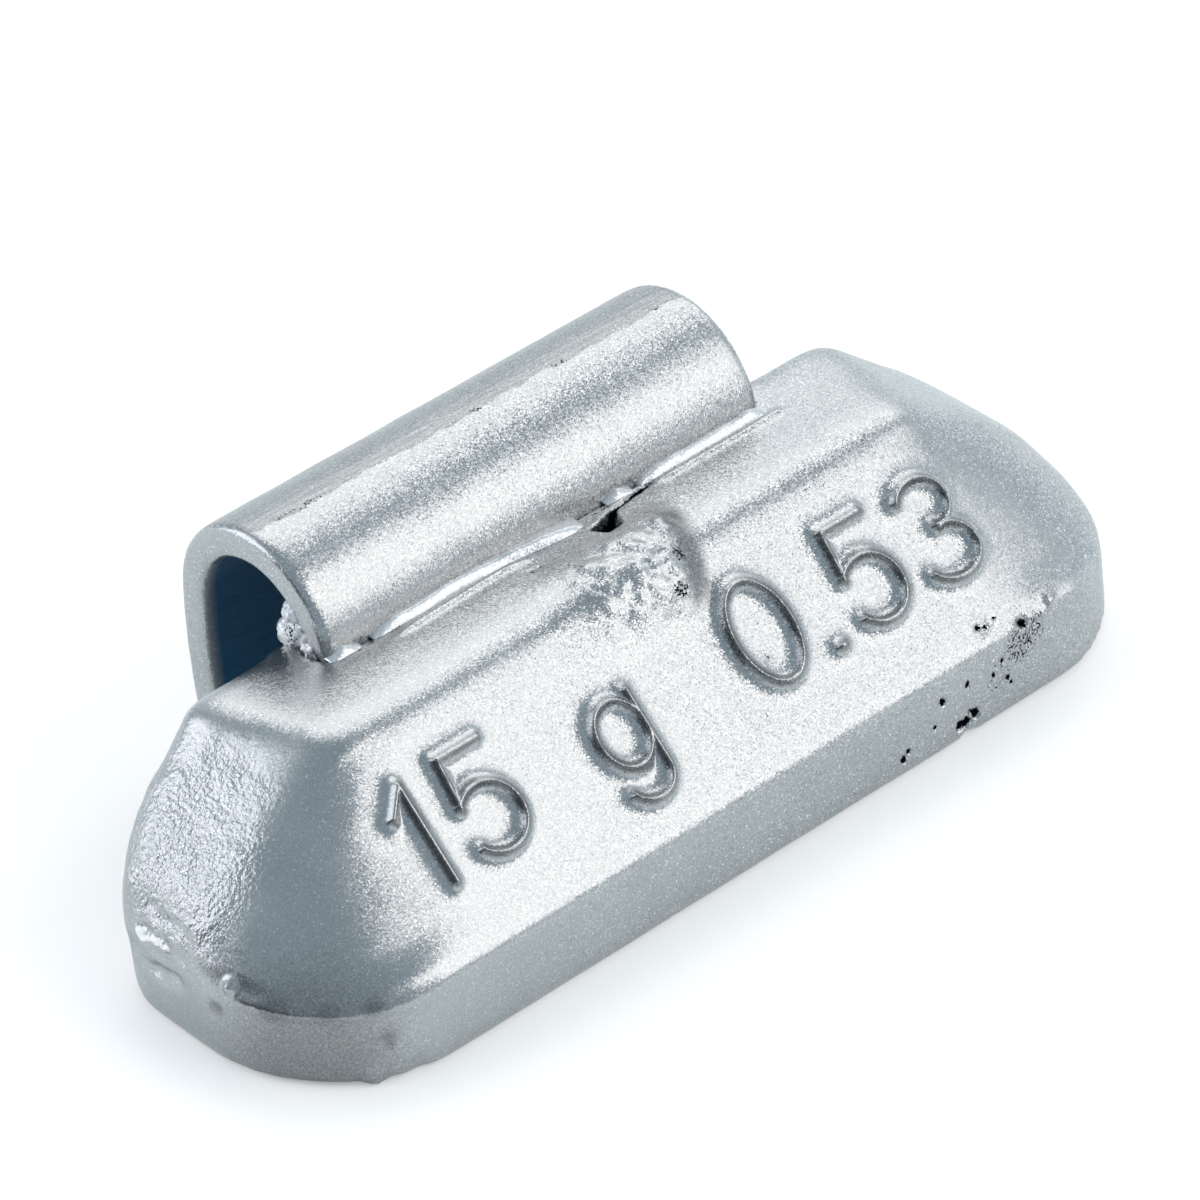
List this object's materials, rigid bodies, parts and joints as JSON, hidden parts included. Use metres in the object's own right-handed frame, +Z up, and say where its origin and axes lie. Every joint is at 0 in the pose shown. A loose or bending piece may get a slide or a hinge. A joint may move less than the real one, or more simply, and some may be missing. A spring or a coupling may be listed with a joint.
{
  "type": "wheel balance weight",
  "caption": "Clip-on wheel balance weight: a rounded cast zinc body with a sloping front, held to a rim flange by a bent spring steel strip cast into its top.",
  "frame": {"origin": "on the base plane, midway between the ends and midway between the front edge and the back of the rear leg", "axes": "+X along the weight's length, +Y from the marked front face to the clip's rear leg, +Z up from the flat base"},
  "size_m": [0.0352, 0.016, 0.0098],
  "materials": {
    "casting_paint": "satin silver paint with a fine metallic grain",
    "clip_paint": "satin silver paint with a fine metallic grain, scuffed on the crest"
  },
  "bodies": {
    "root": {"cast_weight": "casting_paint", "spring_clip": "clip_paint"}
  },
  "joints": []
}
